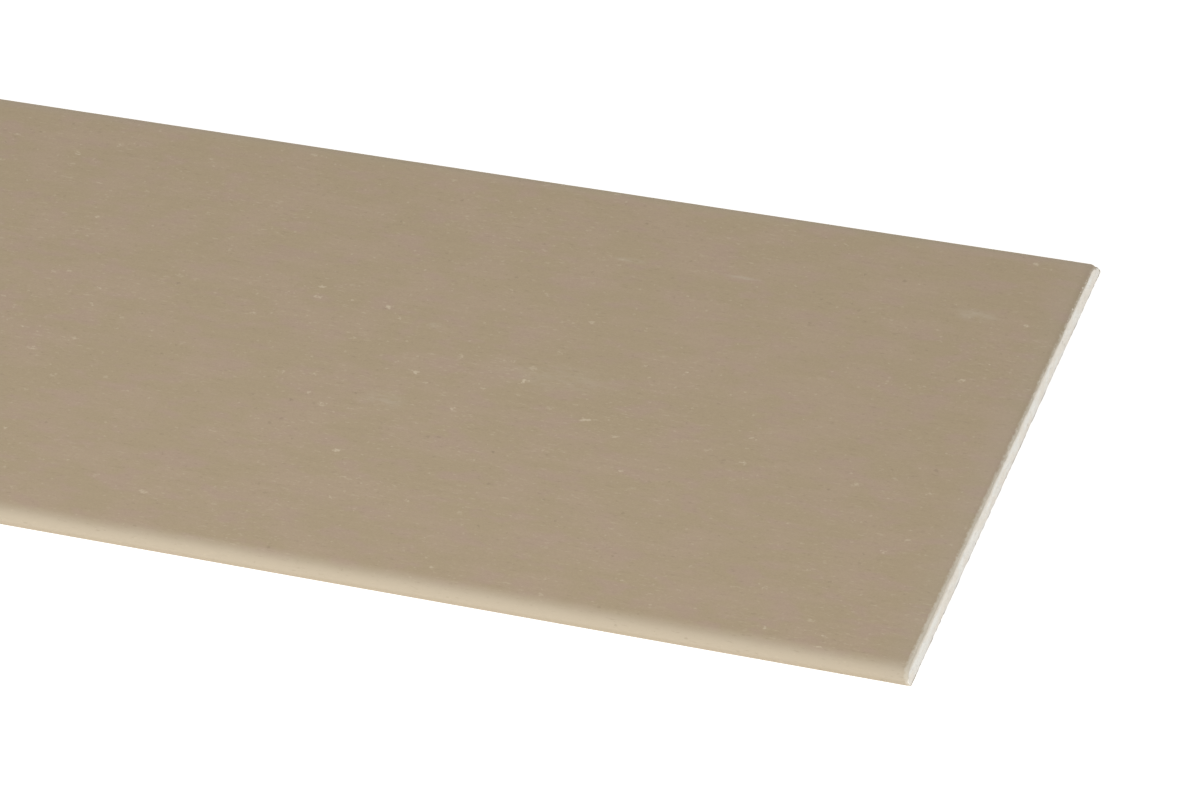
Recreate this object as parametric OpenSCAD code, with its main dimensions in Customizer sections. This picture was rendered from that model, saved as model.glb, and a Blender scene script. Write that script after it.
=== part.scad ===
// Plasterboard sheet lying on its back, with its long edges rounded on the face side and wrapped in face paper.
// X runs along the length, Y across the width and Z up. The origin is the middle of the underside.

/* [Board] */
// Length along the paper-wrapped edges, from one cut end to the other
board_l = 2000; // [600:50:4000]
// Width across the two wrapped edges
board_w = 625; // [300:5:1300]
// Overall thickness, both papers included
board_t = 25; // [18:0.5:30]

/* [Long edges] */
// Radius of the soft shoulder where the face starts down to each long edge
shoulder_r = 45; // [32:1:80]
// Angle the shoulder turns through before the main rounding takes over
shoulder_a = 12; // [4:1:16]
// Height of the straight side under the main rounding
side_h = 7.5; // [0.5:0.5:8]
// Radius at the foot of the side, where the face paper turns under
arris_r = 1.5; // [1:0.1:2.5]

/* [Papers] */
// Thickness of the face paper, which wraps round both long edges
face_paper_t = 0.4; // [0.3:0.05:0.8]
// Thickness of the back paper
back_paper_t = 0.4; // [0.3:0.05:0.8]
// Width of face paper folded under onto the flat of the back, at each long edge
fold_w = 25; // [10:1:50]
// Strip of fold left bare between the foot of the side and the back paper
back_margin = 4; // [0:0.5:9]

/* [Hidden] */
$fn = 96;
// The main rounding crosses the shoulder at this small angle, so that the two never only just touch.
crease_a = 1;

// The flat of the back, folds included, ends where the paper starts up the sides.
back_half_w = board_w / 2 - arris_r;
side_foot_z = back_paper_t + arris_r;

// The main rounding takes the height that the side and the shoulder leave.
nose_a = shoulder_a + crease_a;
nose_z = side_foot_z + side_h;
nose_r = (board_t - nose_z - shoulder_r * (1 - cos(shoulder_a))) / cos(nose_a);

// The flat of the face ends where the shoulders start, edge_w in from the sides.
edge_w = nose_r * (1 - sin(nose_a)) + shoulder_r * sin(shoulder_a);
flat_w = board_w - 2 * edge_w;

// Direction from the middle of a shoulder's radius to the middle of the main one, away from the vertical.
middles_a = atan2(edge_w - nose_r, nose_z + shoulder_r - board_t);

// Between the two folds the core stands down to meet the back paper.
between_folds_w = 2 * (back_half_w - fold_w);
back_paper_w = 2 * (back_half_w - back_margin);

// The board seen along its length, without its back paper and pared down all round by inset.
module wrapped_outline(inset) {
    side_w = board_w - 2 * inset;
    translate([-back_half_w, back_paper_t + inset]) square([2 * back_half_w, nose_z - back_paper_t - inset]);
    translate([-side_w / 2, side_foot_z]) square([side_w, side_h]);
    translate([-flat_w / 2, nose_z]) square([flat_w, board_t - inset - nose_z]);
    for (side = [0, 1]) mirror([side, 0]) translate([board_w / 2, 0]) {
        translate([-arris_r, side_foot_z]) circle(arris_r - inset);
        upper_arc(-nose_r, nose_z, nose_r - inset, nose_r - inset);
        upper_arc(-edge_w, board_t - shoulder_r, shoulder_r - inset, (shoulder_r - inset) * sin(middles_a));
    }
}

// The part of a disc about y, z that lies above the side and no further out from y than reach.
module upper_arc(y, z, radius, reach) {
    intersection() {
        translate([y, z]) circle(radius);
        translate([y - radius, nose_z]) square([radius + reach, board_t]);
    }
}

// The strip of the back that no fold covers, as deep as the folded paper is thick.
module open_back_strip() {
    translate([-between_folds_w / 2, back_paper_t]) square([between_folds_w, face_paper_t]);
}

// Runs an outline drawn across the width and height along the whole length.
module along_board() {
    translate([-board_l / 2, 0, 0]) rotate([90, 0, 90]) linear_extrude(board_l) children();
}

module gypsum_core() {
    color([0.87, 0.85, 0.81]) along_board() union() {
        wrapped_outline(face_paper_t);
        open_back_strip();
    }
}

module face_paper() {
    color([0.65, 0.59, 0.50]) along_board() difference() {
        wrapped_outline(0);
        wrapped_outline(face_paper_t);
        open_back_strip();
    }
}

module back_paper() {
    color([0.62, 0.60, 0.57]) along_board()
        translate([-back_paper_w / 2, 0]) square([back_paper_w, back_paper_t]);
}

gypsum_core();
face_paper();
back_paper();
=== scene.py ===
import math
import random

import bmesh
import bpy
from mathutils import Matrix, Vector, noise


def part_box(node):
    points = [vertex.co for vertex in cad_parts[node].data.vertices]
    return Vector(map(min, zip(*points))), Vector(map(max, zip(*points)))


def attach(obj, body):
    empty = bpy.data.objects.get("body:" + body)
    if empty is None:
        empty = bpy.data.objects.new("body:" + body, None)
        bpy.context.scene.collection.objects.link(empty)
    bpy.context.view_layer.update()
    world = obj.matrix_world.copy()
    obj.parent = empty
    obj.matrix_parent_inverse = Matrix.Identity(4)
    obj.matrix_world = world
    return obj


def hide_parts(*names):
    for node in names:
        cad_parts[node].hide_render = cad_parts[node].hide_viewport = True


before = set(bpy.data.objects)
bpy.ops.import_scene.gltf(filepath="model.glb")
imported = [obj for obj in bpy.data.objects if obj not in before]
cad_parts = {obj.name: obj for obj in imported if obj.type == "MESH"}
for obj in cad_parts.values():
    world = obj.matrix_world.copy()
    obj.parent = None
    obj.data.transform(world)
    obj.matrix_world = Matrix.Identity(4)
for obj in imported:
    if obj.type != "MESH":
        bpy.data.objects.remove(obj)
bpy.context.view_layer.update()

# the sheet's own sizes, as the frame gives them, in metres
faceLow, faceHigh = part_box("face_paper")
coreLow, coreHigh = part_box("gypsum_core")
backLow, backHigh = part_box("back_paper")
halfLength = faceHigh.x
halfWidth = faceHigh.y
paperThickness = faceHigh.z - coreHigh.z

# the long edges: a soft shoulder, the main rounding or nose, a straight side and a small arris at its foot
longEdge = {
    "shoulderRadius": 0.045,
    "shoulderAngle": math.radians(12),
    "noseAngle": math.radians(13),  # the nose starts this steep
    "sideHeight": 0.0075,
    "arrisRadius": 0.0015,
}
shoulderSine = math.sin(longEdge["shoulderAngle"])
shoulderDrop = longEdge["shoulderRadius"] * (1 - math.cos(longEdge["shoulderAngle"]))
footHeight = faceLow.z + longEdge["arrisRadius"]
noseHeight = footHeight + longEdge["sideHeight"]
noseRadius = (faceHigh.z - noseHeight - shoulderDrop) / math.cos(longEdge["noseAngle"])
noseSide = halfWidth - noseRadius  # how far out the middle of the nose lies
footSide = halfWidth - longEdge["arrisRadius"]  # the flat of the back ends here
shoulderSide = noseSide + noseRadius * math.sin(longEdge["noseAngle"])  # the nose takes over here
flatHalf = shoulderSide - longEdge["shoulderRadius"] * shoulderSine  # and the flat of the face ends here

# how both papers and the core leave a perfect sheet, shared so that they go on fitting each other
sheetShape = {
    "edgeWave": 0.0014,  # the shoulder starts this much earlier or later along the sheet
    "edgeWaveLength": 0.11,
    "edgeWaveBlend": 0.014,
    "pressDepth": 0.0050,  # the cutter pressed the face down this far at a cut end
    "pressTilt": 0.32,  # and so much more of it towards one side
    "pressWidth": 0.0075,
    "underPress": 0.05,  # share of that on the underside
    "pressRows": 8,
    "rowSpacing": 0.010,
}


class Signal:
    # one shader socket, so that shader maths is written as Python
    def __init__(self, finish, socket):
        self.finish = finish
        self.socket = socket

    def maths(self, operation, first, second=0.0):
        return self.finish.node("ShaderNodeMath", {"operation": operation}, {0: first, 1: second})

    def __add__(self, other):
        return self.maths("ADD", self, other)

    def __sub__(self, other):
        return self.maths("SUBTRACT", self, other)

    def __rsub__(self, other):
        return self.maths("SUBTRACT", other, self)

    def __mul__(self, other):
        return self.maths("MULTIPLY", self, other)

    def __abs__(self):
        return self.maths("ABSOLUTE", self)

    __radd__ = __add__

    def between(self, low, high, first=0.0, last=1.0):
        # eases from first, at low, to last, at high
        sockets = {"Value": self, "From Min": low, "From Max": high, "To Min": first, "To Max": last}
        return self.finish.node("ShaderNodeMapRange", {"interpolation_type": "SMOOTHSTEP"}, sockets)


class Finish:
    # one material and the nodes in it
    def __init__(self, name):
        self.material = bpy.data.materials.new(name)
        self.material.use_nodes = True
        self.tree = self.material.node_tree
        self.tree.nodes.clear()
        self.place = self.node("ShaderNodeTexCoord", output="Object")

    def node(self, kind, settings=None, sockets=None, output=0):
        made = self.tree.nodes.new(kind)
        for name, value in (settings or {}).items():
            setattr(made, name, value)
        for name, value in (sockets or {}).items():
            if isinstance(value, Signal):
                self.tree.links.new(value.socket, made.inputs[name])
            else:
                made.inputs[name].default_value = value
        return Signal(self, made.outputs[output]) if made.outputs else None

    def along(self, axis):
        return self.node("ShaderNodeSeparateXYZ", None, {0: self.place}, output=axis)

    def steps(self, x, y, z):
        # the place on the sheet, counted in steps of these many metres
        scale = (1 / x, 1 / y, 1 / z)
        return self.node("ShaderNodeVectorMath", {"operation": "MULTIPLY"}, {0: self.place, 1: scale})

    def clouds(self, x, y, z, detail=2.0, roughness=0.5):
        # soft noise from 0 to 1, with bumps of about that size in metres
        sockets = {"Vector": self.steps(x, y, z), "Scale": 1.0, "Detail": detail, "Roughness": roughness}
        return self.node("ShaderNodeTexNoise", None, sockets)

    def specks(self, x, y, z, size, few, sway=0.35):
        # scattered soft specks: a cell of that size holds one at most, and few leaves that share of them out
        stir = {"Vector": self.steps(x / 4, y / 4, z / 4), "Scale": 1.0, "Detail": 1.0}
        stirred = self.node("ShaderNodeTexNoise", None, stir, output="Color")
        shift = {0: stirred, 1: (sway, sway, sway), 2: self.steps(x, y, z)}
        moved = self.node("ShaderNodeVectorMath", {"operation": "MULTIPLY_ADD"}, shift)
        cells = {"Vector": moved, "Scale": 1.0}
        distance = self.node("ShaderNodeTexVoronoi", None, cells, output="Distance")
        colour = self.node("ShaderNodeTexVoronoi", None, cells, output="Color")
        luck = self.node("ShaderNodeSeparateColor", None, {0: colour})
        strength = self.node("ShaderNodeSeparateColor", None, {0: colour}, output=1)
        reach = luck.between(few, 1.0, 0.0, size)
        return (reach - distance).between(0.0, 0.5 * size) * strength.between(0.0, 1.0, 0.25, 1.0)

    def blend(self, share, first, second):
        return self.node("ShaderNodeMix", {"data_type": "RGBA"}, {0: share, 6: first, 7: second}, output=2)

    def surface(self, colour, roughness, height, depth, fixed):
        # the shader, with a bump from height, depth metres deep, and fixed values on its own sockets
        normal = self.node("ShaderNodeBump", None, {"Height": height, "Distance": depth, "Strength": 1.0})
        sockets = {"Base Color": colour, "Roughness": roughness, "Normal": normal, **fixed}
        shader = self.node("ShaderNodeBsdfPrincipled", None, sockets)
        self.node("ShaderNodeOutputMaterial", None, {"Surface": shader})
        return self.material


def shade(red, green, blue):
    # a colour picked on a screen, from 0 to 255, as the shader wants it
    linear = [((v / 255 + 0.055) / 1.055) ** 2.4 if v > 10 else v / 3294.6 for v in (red, green, blue)]
    return (*linear, 1.0)


facePaperLook = {
    "tan": shade(155.5, 139, 118),
    "rosy": shade(155.5, 137, 120),
    "olive": shade(153, 138, 114),
    # paler paper of the long edges: partly real wear, partly a painted highlight of the edge that faces the
    # key lamp
    "wornAndLit": shade(168, 156, 136.5),
    # less of the painted highlight on the +Y edge, which faces away from the key lamp
    "lessWornAndLit": 0.35,  # the share of that on the long edge at +Y
    "rubbed": shade(164, 152, 134),
    "fleck": shade(178, 165, 143),
    "dark": shade(122, 109, 90),
    "dust": shade(184, 176, 161),
    "haze": shade(158, 154, 148),
    "dustReach": 0.0044,  # how far from a cut end the gypsum dust whitens the paper, in metres
    "dustTilt": 0.006,  # and how much further per metre across the sheet, towards -Y
    "hazeReach": 0.060,  # how far a faint haze of it goes
    # pale rubs on the face: middle x, middle y, half length, half width, strength
    "rubs": [
        (0.370, 0.020, 0.130, 0.030, 0.32),
        (0.880, 0.206, 0.042, 0.012, 0.7),
        (0.390, 0.208, 0.030, 0.005, 0.7),
        (0.550, 0.208, 0.034, 0.004, 0.8),
        (0.150, -0.052, 0.045, 0.018, 0.5),
        (0.170, 0.068, 0.014, 0.006, 0.7),
    ],
}


def paperMottle(finish, look):
    # recycled pulp: soft tan, rosy and olive patches, drawn out along the sheet
    patches = finish.clouds(0.085, 0.034, 0.034, detail=3.0)
    streaks = finish.clouds(0.30, 0.006, 0.006, detail=2.0)
    grain = finish.clouds(0.0030, 0.0016, 0.0016, detail=2.0, roughness=0.6)
    colour = finish.blend(patches.between(0.42, 0.64), look["olive"], look["tan"])
    rosy = finish.clouds(0.060, 0.022, 0.022, detail=3.0).between(0.50, 0.68)
    colour = finish.blend(rosy * 0.8, colour, look["rosy"])
    light = 0.95 + streaks.between(0.3, 0.7) * 0.02 + grain.between(0.25, 0.75) * 0.06
    shadeOf = finish.node("ShaderNodeCombineColor", None, {0: light, 1: light, 2: light})
    multiply = {"data_type": "RGBA", "blend_type": "MULTIPLY"}
    return finish.node("ShaderNodeMix", multiply, {0: 1.0, 6: colour, 7: shadeOf}, output=2), grain


def rubMask(finish, rub):
    # one long pale rub with a broken outline
    x, y, halfLong, halfWide, strength = rub
    moved = finish.node("ShaderNodeMapping", {"vector_type": "TEXTURE"},
                        {"Vector": finish.place, "Location": (x, y, 0), "Scale": (halfLong, halfWide, 1)})
    flat = finish.node("ShaderNodeVectorMath", {"operation": "MULTIPLY"}, {0: moved, 1: (1, 1, 0)})
    away = finish.node("ShaderNodeVectorMath", {"operation": "LENGTH"}, {0: flat}, output="Value")
    broken = finish.clouds(0.030, 0.008, 0.008, detail=4.0, roughness=0.65)
    return away.between(1.0, 0.15) * broken.between(0.34, 0.62) * strength


def facePaperFinish():
    look = facePaperLook
    finish = Finish("facePaperTan")
    colour, grain = paperMottle(finish, look)

    # the paper is paler where it goes round the long edges: partly rubbed wear, partly a painted highlight,
    # full on the -Y edge that faces the key lamp and weaker low on the side and on the +Y edge
    width = abs(finish.along("Y"))
    wave = finish.clouds(0.045, 0.045, 0.045) - 0.5
    wornAndLit = (width + wave * 0.006).between(flatHalf - 0.004, noseSide + 0.8 * noseRadius)
    wornAndLit = wornAndLit * finish.along("Z").between(noseHeight - 0.003, noseHeight + 0.003, 0.7, 1.0)
    wornAndLit = wornAndLit * finish.along("Y").between(-0.01, 0.01, 1.0, look["lessWornAndLit"])
    colour = finish.blend(wornAndLit, colour, look["wornAndLit"])

    for rub in look["rubs"]:
        colour = finish.blend(rubMask(finish, rub), colour, look["rubbed"])

    # short fibres lie along the sheet, some paler and some darker than the pulp
    crowd = finish.clouds(0.16, 0.07, 0.07).between(0.35, 0.65, 0.35, 1.0)
    fibres = finish.clouds(0.0105, 0.0022, 0.0022, detail=2.0, roughness=0.55)
    colour = finish.blend(fibres.between(0.58, 0.78) * crowd * 0.42, colour, look["fleck"])
    colour = finish.blend(fibres.between(0.40, 0.22) * 0.30, colour, look["dark"])

    # flecks of undyed pulp, torn in outline and few of them bright
    torn = finish.clouds(0.0050, 0.0024, 0.0024, detail=2.0).between(0.34, 0.52)
    flecks = finish.specks(0.026, 0.013, 0.013, 0.27, 0.50, sway=0.6) * torn
    fine = finish.specks(0.0085, 0.0050, 0.0050, 0.34, 0.60, sway=0.6)
    dark = finish.specks(0.014, 0.0090, 0.0090, 0.26, 0.70, sway=0.5)
    colour = finish.blend(flecks * crowd, colour, look["fleck"])
    colour = finish.blend(fine * 0.40, colour, look["fleck"])
    colour = finish.blend(dark * 0.38, colour, look["dark"])

    # gypsum dust and torn fibres along the cut ends
    length = abs(finish.along("X"))
    ragged = finish.clouds(0.0040, 0.0050, 0.0050, detail=3.0, roughness=0.7) - 0.5
    haze = length.between(halfLength - look["hazeReach"], halfLength)
    dustSide = length + ragged * 0.007 - finish.along("Y") * look["dustTilt"]
    dust = dustSide.between(halfLength - look["dustReach"], halfLength - 0.0005)
    colour = finish.blend(haze * 0.10, colour, look["haze"])
    colour = finish.blend(dust * 0.95, colour, look["dust"])

    thread = finish.clouds(0.0050, 0.0009, 0.0009, detail=2.0)
    height = grain * 0.6 + thread * 0.4 + flecks * 0.6 + dust * ragged
    return finish.surface(colour, 0.96 - grain * 0.12, height, 0.00012, {"Specular IOR Level": 0.25})


backPaperLook = {
    "tan": shade(159, 153, 144),
    "rosy": shade(154, 147, 139),
    "olive": shade(151, 148, 137),
    "fleck": shade(190, 185, 176),
    "dark": shade(112, 106, 98),
    "dust": shade(206, 205, 202),
    "dustReach": 0.0030,
}


def backPaperFinish():
    look = backPaperLook
    finish = Finish("backPaperGrey")
    colour, grain = paperMottle(finish, look)
    flecks = finish.specks(0.016, 0.0075, 0.0075, 0.32, 0.40)
    dark = finish.specks(0.010, 0.0060, 0.0060, 0.28, 0.55)
    colour = finish.blend(flecks * 0.6, colour, look["fleck"])
    colour = finish.blend(dark * 0.5, colour, look["dark"])
    length = abs(finish.along("X"))
    ragged = finish.clouds(0.0040, 0.0050, 0.0050, detail=3.0, roughness=0.7) - 0.5
    dust = (length + ragged * 0.005).between(halfLength - look["dustReach"], halfLength - 0.0015)
    colour = finish.blend(dust * 0.8, colour, look["dust"])
    fibre = finish.clouds(0.0050, 0.0009, 0.0009, detail=2.0)
    height = grain * 0.6 + fibre * 0.4 + flecks * 0.5
    return finish.surface(colour, 0.97 - grain * 0.10, height, 0.00012, {"Specular IOR Level": 0.25})


gypsumLook = {
    "white": shade(223, 221, 215),
    "cream": shade(220, 214, 204),
    "rim": shade(196, 186, 170),  # under the face paper
    "shadow": shade(191, 186, 177),
    "fibre": shade(190, 174, 148),
}


def gypsumFinish():
    look = gypsumLook
    finish = Finish("gypsumWhite")
    patches = finish.clouds(0.03, 0.022, 0.008, detail=4.0)
    crumbs = finish.clouds(0.0016, 0.0016, 0.0016, detail=4.0, roughness=0.7)
    bubbles = finish.specks(0.0026, 0.0026, 0.0026, 0.42, 0.55, sway=0.1)
    strands = finish.specks(0.004, 0.006, 0.0018, 0.22, 0.85)
    colour = finish.blend(patches.between(0.40, 0.62), look["cream"], look["white"])
    rim = (finish.along("Z") + crumbs * 0.003).between(faceHigh.z - 0.0085, faceHigh.z - 0.0025)
    colour = finish.blend(rim * 0.9, colour, look["rim"])
    colour = finish.blend(crumbs.between(0.58, 0.34) * 0.35, colour, look["shadow"])
    colour = finish.blend(bubbles * 0.55, colour, look["shadow"])
    colour = finish.blend(strands * 0.5, colour, look["fibre"])
    height = crumbs - bubbles * 0.7
    return finish.surface(colour, 0.98 - crumbs * 0.10, height, 0.0005, {"Specular IOR Level": 0.2})


def wobble(x, y, z, size, seed=0.0):
    # smooth noise from about -1 to 1, with bumps about as wide as size
    return noise.noise(Vector((x / size + seed, y / size - 2.3 * seed, z / size + 0.7 * seed)))


def nearCut(x):
    # 1 at a cut end, 0 where the pressed rim starts, and under 0 further in
    return 1 - (halfLength - abs(x)) / sheetShape["pressWidth"]


def shapeSheet(bm):
    # gives every vertex the waviness of the long edges and the pressed rim of the cut ends
    for vertex in bm.verts:
        x, y, z = vertex.co
        side, end = math.copysign(1, y), math.copysign(1, x)
        reach = abs(y) - flatHalf
        hold = 1 - reach / (halfWidth - flatHalf) if reach > 0 else 1 + reach / sheetShape["edgeWaveBlend"]
        wave = wobble(x, 0, 0, sheetShape["edgeWaveLength"], 4.7 * side)
        wave += 0.5 * wobble(x, 0, 0, sheetShape["edgeWaveLength"] / 3, 9.1 * side)
        y = side * (abs(y) - sheetShape["edgeWave"] * wave * max(0.0, hold))
        press = sheetShape["pressDepth"] * (0.9 + 0.4 * wobble(0, y, z, 0.021, 3 * end))
        press *= 1 + sheetShape["pressTilt"] * end * y / halfWidth
        press *= max(0.0, nearCut(x)) ** 2 * (1.0 if z > noseHeight else sheetShape["underPress"])
        y = side * (min(abs(y), noseSide) + max(0.0, abs(y) - noseSide) * (1 - press / noseRadius))
        reach = faceHigh.z - noseHeight if z > noseHeight else noseHeight - faceLow.z
        vertex.co = (x, y, noseHeight + (z - noseHeight) * (1 - press / reach))


def tearPaper(bm, depth, nick):
    # the cut line wanders in and out, with a few deeper nicks
    for vertex in bm.verts:
        x, y, z = vertex.co
        end = math.copysign(1, x)
        line = max(0.0, 0.45 + wobble(0, y, z, 0.008, 5 * end) + 0.4 * wobble(0, y, z, 0.003, 8 * end))
        bite = max(0.0, wobble(0, y, z, 0.013, 11 * end) - 0.38) / 0.3
        vertex.co.x = x - end * (depth * line + nick * bite) * max(0.0, nearCut(x)) ** 2


def rowPlaces():
    # how far each row is from the first cut end, with more rows at both ends
    width, rows = sheetShape["pressWidth"], sheetShape["pressRows"]
    rim = [width * (k / rows) ** 1.5 for k in range(rows)]
    between = 2 * (halfLength - width)
    count = round(between / sheetShape["rowSpacing"])
    middle = [width + between * k / count for k in range(count + 1)]
    return rim + middle + [2 * halfLength - place for place in reversed(rim)]


def drawOn(bm, tip, move, pitch):
    # goes on with a straight stretch of the outline, in steps about as long as pitch
    steps = round(move.length / pitch)
    for k in range(steps):
        tip = bmesh.ops.extrude_vert_indiv(bm, verts=[tip])["verts"][0]
        bmesh.ops.translate(bm, verts=[tip], vec=move / steps)
    return tip


def runAlong(bm):
    # draws the outline along the sheet, a row at a time
    places = rowPlaces()
    rowEdges = bm.edges[:]
    for before, after in zip(places, places[1:]):
        made = bmesh.ops.extrude_edge_only(bm, edges=rowEdges)["geom"]
        newVerts = {part for part in made if isinstance(part, bmesh.types.BMVert)}
        newEdges = [part for part in made if isinstance(part, bmesh.types.BMEdge)]
        rowEdges = [edge for edge in newEdges if newVerts.issuperset(edge.verts)]
        bmesh.ops.translate(bm, verts=list(newVerts), vec=(after - before, 0, 0))


def refineRims(bm, finest):
    # cuts the wide faces of the rims finely enough to carry a ragged line
    def cutsIn(edge):
        first, last = (vertex.co for vertex in edge.verts)
        acrossRim = abs(first.x - last.x) < 1e-6 and nearCut(first.x) > -0.01
        return max(0, round(edge.calc_length() / finest) - 1) if acrossRim else 0

    for cuts in {cutsIn(edge) for edge in bm.edges} - {0}:
        wide = [edge for edge in bm.edges if cutsIn(edge) == cuts]
        bmesh.ops.subdivide_edges(bm, edges=wide, cuts=cuts, use_grid_fill=True)


def finishPiece(bm, name, material, replaced=None):
    # turns a bmesh into a piece that rides on the sheet
    mesh = bpy.data.meshes.new(name)
    bm.to_mesh(mesh)
    bm.free()
    mesh.polygons.foreach_set("use_smooth", [True] * len(mesh.polygons))
    mesh.set_sharp_from_angle(angle=math.radians(55))
    mesh.materials.append(material)
    piece = bpy.data.objects.new(name, mesh)
    bpy.context.scene.collection.objects.link(piece)
    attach(piece, "root")
    if replaced:
        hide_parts(replaced)
    print(name, "made with", len(mesh.polygons), "faces")
    return piece


facePaper = {
    "foldWidth": 0.025,  # folded under onto the flat of the back
    "pitch": 0.020,
    "finePitch": 0.005,
    "noseSteps": 12,
    "shoulderSteps": 6,
    "arrisSteps": 5,
    "finest": 0.0018,
    "ragged": 0.0006,
    "nick": 0.0022,
}


def turnOn(bm, tip, side, y, z, angle, steps):
    # goes on with a round stretch of the outline, its middle y out towards one side and z up
    centre = (-halfLength, side * y, z)
    turned = bmesh.ops.spin(bm, geom=[tip], cent=centre, axis=(1, 0, 0), angle=-angle, steps=steps)
    return [part for part in turned["geom_last"] if isinstance(part, bmesh.types.BMVert)][0]


def makeFacePaper(material):
    # one sheet: fold, arris, side, nose and shoulder, over the face, and the same down the other side
    bm = bmesh.new()
    fold, up = Vector((0, -facePaper["foldWidth"], 0)), Vector((0, 0, longEdge["sideHeight"]))
    arris = (footSide, footHeight, math.pi / 2, facePaper["arrisSteps"])
    nose = (noseSide, noseHeight, math.pi / 2 - longEdge["noseAngle"], facePaper["noseSteps"])
    shoulderHeight = faceHigh.z - longEdge["shoulderRadius"]
    shoulder = (flatHalf, shoulderHeight, longEdge["shoulderAngle"], facePaper["shoulderSteps"])
    tip = bm.verts.new((-halfLength, facePaper["foldWidth"] - footSide, faceLow.z))
    tip = drawOn(bm, tip, fold, facePaper["finePitch"])
    tip = turnOn(bm, tip, -1, *arris)
    tip = drawOn(bm, tip, up, facePaper["finePitch"])
    tip = turnOn(bm, tip, -1, *nose)
    tip = turnOn(bm, tip, -1, *shoulder)
    tip = drawOn(bm, tip, Vector((0, 2 * flatHalf, 0)), facePaper["pitch"])
    tip = turnOn(bm, tip, 1, *shoulder)
    tip = turnOn(bm, tip, 1, *nose)
    tip = drawOn(bm, tip, -up, facePaper["finePitch"])
    tip = turnOn(bm, tip, 1, *arris)
    drawOn(bm, tip, fold, facePaper["finePitch"])
    runAlong(bm)
    refineRims(bm, facePaper["finest"])
    bmesh.ops.recalc_face_normals(bm, faces=bm.faces[:])
    bmesh.ops.solidify(bm, geom=bm.faces[:], thickness=paperThickness)
    tearPaper(bm, facePaper["ragged"], facePaper["nick"])
    shapeSheet(bm)
    return finishPiece(bm, "facePaperWrap", material, "face_paper")


backPaper = {
    "pitch": 0.020,
    "finest": 0.0025,
    "ragged": 0.0009,
    "nick": 0.0015,
}


def makeBackPaper(material):
    bm = bmesh.new()
    tip = bm.verts.new((-halfLength, backLow.y, backLow.z))
    drawOn(bm, tip, Vector((0, backHigh.y - backLow.y, 0)), backPaper["pitch"])
    runAlong(bm)
    refineRims(bm, backPaper["finest"])
    bmesh.ops.recalc_face_normals(bm, faces=bm.faces[:])
    if bm.faces[0].normal.z > 0:
        bmesh.ops.reverse_faces(bm, faces=bm.faces[:])
    bmesh.ops.solidify(bm, geom=bm.faces[:], thickness=backHigh.z - backLow.z)
    tearPaper(bm, backPaper["ragged"], backPaper["nick"])
    shapeSheet(bm)
    return finishPiece(bm, "backPaperStrip", material, "back_paper")


gypsumCore = {
    "grain": 0.00125,
    "recess": 0.0004,
    "leastRecess": 0.0001,
    "rough": 0.00055,
    "crumble": 0.0014,  # how far the arrises have crumbled back
    "crumbleHeight": 0.4,  # over this share of the height above and below the foot of the nose
    "lowerCrumble": 0.7,  # the lower arris is only this much exposed
    "pit": 0.0008,
    "skirt": 0.003,
    "hiddenInset": 0.0005,
}


def coreHeights(y):
    # how low and how high the core reaches at y across the sheet
    outer = abs(y)

    def rise(middle, radius):
        return math.sqrt(max(0.0, (radius - paperThickness) ** 2 - max(0.0, outer - middle) ** 2))

    low = footHeight - rise(footSide, longEdge["arrisRadius"])
    if outer < footSide - facePaper["foldWidth"]:
        low = faceLow.z
    if outer > flatHalf + (longEdge["shoulderRadius"] - paperThickness) * shoulderSine:
        return low, noseHeight + rise(noseSide, noseRadius)
    return low, faceHigh.z - longEdge["shoulderRadius"] + rise(flatHalf, longEdge["shoulderRadius"])


def coreRecess(y, z, v):
    # how far the rough cut face is set back at y, z, with v from -1 at the back to 1 at the face
    band = gypsumCore["crumbleHeight"]
    exposed = v if v > 0 else -gypsumCore["lowerCrumble"] * v
    rim = max(0.0, exposed - (1 - band)) / band
    crumble = gypsumCore["crumble"] * rim ** 2 * max(0.0, 0.5 + wobble(0, y, z, 0.009, 2))
    rough = gypsumCore["rough"] * (0.6 * wobble(0, y, z, 0.011, 6) + 0.4 * wobble(0, y, z, 0.0035, 7))
    pit = gypsumCore["pit"] * max(0.0, wobble(0, y, z, 0.0045, 13) - 0.35) / 0.3
    return max(gypsumCore["leastRecess"], gypsumCore["recess"] + rough + crumble + pit)


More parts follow.
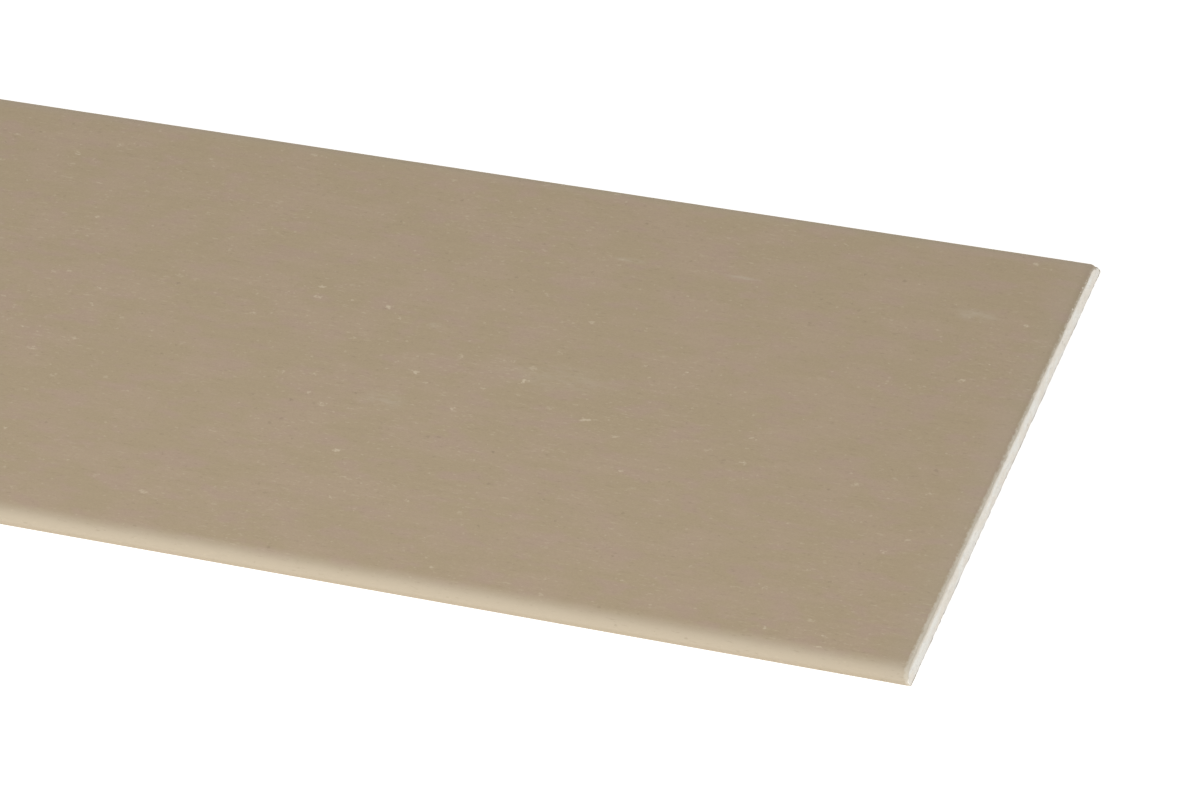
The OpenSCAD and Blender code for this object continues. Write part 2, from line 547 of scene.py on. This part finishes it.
def makeGypsumCore(material):
    # two rough cut ends joined by plain walls that the papers hide
    bm = bmesh.new()
    radius = noseRadius - paperThickness
    across = round(2 * (noseSide + radius) / gypsumCore["grain"])
    up = round((coreHigh.z - coreLow.z) / gypsumCore["grain"])
    bmesh.ops.create_grid(bm, x_segments=across, y_segments=up, size=1.0)
    for vertex in bm.verts:
        u, v = vertex.co.x, vertex.co.y
        reach = abs(u) * (noseSide + radius) - noseSide
        turn = max(0.0, reach) / radius * math.pi / 2
        y = math.copysign(noseSide + min(reach, 0) + radius * math.sin(turn), u)
        low, high = coreHeights(y)
        z = noseHeight + (v * (high - noseHeight) if v > 0 else v * (noseHeight - low))
        vertex.co = (halfLength - coreRecess(y, z, v), y, z)
    bmesh.ops.remove_doubles(bm, verts=bm.verts[:], dist=1e-5)
    pressed = sheetShape["pressWidth"]
    walls = [(gypsumCore["skirt"], 0.0), (pressed, 0.0), (2 * pressed, gypsumCore["hiddenInset"])]
    for depth, inset in walls:
        border = [edge for edge in bm.edges if edge.is_boundary]
        made = bmesh.ops.extrude_edge_only(bm, edges=border)["geom"]
        for part in made:
            if isinstance(part, bmesh.types.BMVert):
                part.co.x = halfLength - depth
                part.co.y *= 1 - inset / halfWidth
                part.co.z = noseHeight + (part.co.z - noseHeight) * (1 - inset / noseHeight)
    twin = bmesh.ops.duplicate(bm, geom=bm.verts[:] + bm.edges[:] + bm.faces[:])["geom"]
    twinVerts = [part for part in twin if isinstance(part, bmesh.types.BMVert)]
    bmesh.ops.rotate(bm, verts=twinVerts, cent=(0, 0, 0), matrix=Matrix.Rotation(math.pi, 3, "Z"))
    bmesh.ops.bridge_loops(bm, edges=[edge for edge in bm.edges if edge.is_boundary])
    bmesh.ops.recalc_face_normals(bm, faces=bm.faces[:])
    shapeSheet(bm)
    return finishPiece(bm, "gypsumCutCore", material, "gypsum_core")


crumbs = {
    "seed": 11,
    "count": 420,  # at each cut end
    "onTop": 0.75,  # this share of them clings to the upper arris, the rest to the lower one
    "smallest": 0.0003,
    "largest": 0.0009,
    "lump": 0.0002,
    "lumpSize": 0.0007,
}


def makeCrumbs(material):
    # crumbs and torn tufts that cling to the arrises of the cut ends
    draw = random.Random(crumbs["seed"])
    bm = bmesh.new()
    for end in (-1, 1):
        for k in range(crumbs["count"]):
            size = crumbs["smallest"] + (crumbs["largest"] - crumbs["smallest"]) * draw.random() ** 3
            y = draw.uniform(-flatHalf, flatHalf)
            x = end * (halfLength - size - draw.uniform(0.0004, 0.0011))
            rise = draw.uniform(0.0, 0.0010)
            z = faceHigh.z - rise if draw.random() < crumbs["onTop"] else backLow.z + 1.4 * size + rise
            squash = Matrix.Diagonal((1.0, draw.uniform(0.9, 2.2), draw.uniform(0.5, 0.9), 1.0))
            matrix = Matrix.Translation((x, y, z)) @ Matrix.Rotation(draw.uniform(-0.6, 0.6), 4, "X") @ squash
            bmesh.ops.create_icosphere(bm, subdivisions=1, radius=size, matrix=matrix)
    for vertex in bm.verts:
        vertex.co += crumbs["lump"] * noise.noise_vector(vertex.co / crumbs["lumpSize"])
    shapeSheet(bm)
    return finishPiece(bm, "cutEndCrumbs", material)


print("sheet is", round(2 * halfLength, 4), "by", round(2 * halfWidth, 4), "m")
paperTan = facePaperFinish()
paperGrey = backPaperFinish()
gypsumWhite = gypsumFinish()
print("finishes made")
makeFacePaper(paperTan)
makeBackPaper(paperGrey)
makeGypsumCore(gypsumWhite)
makeCrumbs(gypsumWhite)


def aim(thing, target, azimuth, elevation, distance, roll=0.0):
    # puts a lamp or the camera round the sheet: azimuth 0 faces a long edge, 90 the +X cut end
    a, e = math.radians(azimuth), math.radians(elevation)
    away = Vector((math.sin(a) * math.cos(e), -math.cos(a) * math.cos(e), math.sin(e)))
    turn = (-away).to_track_quat("-Z", "Y").to_matrix().to_4x4() @ Matrix.Rotation(math.radians(roll), 4, "Z")
    thing.matrix_world = Matrix.Translation(Vector(target) + away * distance) @ turn
    bpy.context.scene.collection.objects.link(thing)


studio = {
    "floor": shade(249, 249, 248),
    "floorSize": 40.0,
    "floorDrop": 0.0002,  # how far it lies under the sheet
    "floorGlow": 0.40,  # it is lit from within a little, so that no hard shadow lies on it
    "sky": 0.77,
    # name: azimuth, elevation, distance, width, height, power in watts, colour
    "lamps": {
        "keyFromFront": (-4, 40, 3.8, 3.2, 1.8, 95, (1.0, 0.98, 0.955)),
        "rimFromBehind": (184, 25, 6.0, 4.0, 1.8, 36, (0.98, 0.99, 1.0)),
    },
}

cameraView = {
    "target": (0.440, -0.0015),  # the point of the face it looks at
    "azimuth": 46.5,
    "elevation": 48.2,
    "distance": 11.31,
    "roll": -28.83,
    "lens": 274.4,
}


def makeStudio():
    bm = bmesh.new()
    bmesh.ops.create_grid(bm, x_segments=1, y_segments=1, size=studio["floorSize"] / 2)
    bmesh.ops.translate(bm, verts=bm.verts[:], vec=(0, 0, backLow.z - studio["floorDrop"]))
    mesh = bpy.data.meshes.new("floor")
    bm.to_mesh(mesh)
    bm.free()
    finish = Finish("floorPale")
    speckle = finish.clouds(0.4, 0.4, 0.4)
    glow = {"Emission Color": (1.0, 1.0, 1.0, 1.0), "Emission Strength": studio["floorGlow"]}
    flat = {"Specular IOR Level": 0.0, **glow}
    mesh.materials.append(finish.surface(studio["floor"], 0.9, speckle, 0.0, flat))
    floor = bpy.data.objects.new("floor", mesh)
    bpy.context.scene.collection.objects.link(floor)

    world = bpy.data.worlds.new("studioSky")
    world.use_nodes = True
    sky = world.node_tree.nodes["Background"]
    sky.inputs["Color"].default_value = (1.0, 1.0, 1.0, 1.0)
    sky.inputs["Strength"].default_value = studio["sky"]
    bpy.context.scene.world = world

    for name, (azimuth, elevation, distance, width, height, power, colour) in studio["lamps"].items():
        light = bpy.data.lights.new(name, "AREA")
        light.shape = "RECTANGLE"
        light.size, light.size_y = width, height
        light.energy = power
        light.color = colour
        aim(bpy.data.objects.new(name, light), (0.2, 0, faceHigh.z), azimuth, elevation, distance)
    print("studio lit")


def makeCamera():
    camera = bpy.data.objects.new("camera", bpy.data.cameras.new("camera"))
    camera.data.sensor_width = 36.0
    camera.data.lens = cameraView["lens"]
    aim(camera, (*cameraView["target"], faceHigh.z), cameraView["azimuth"], cameraView["elevation"],
        cameraView["distance"], cameraView["roll"])
    bpy.context.scene.camera = camera
    print("camera placed")


makeStudio()
makeCamera()
bpy.context.scene.view_settings.view_transform = "Standard"
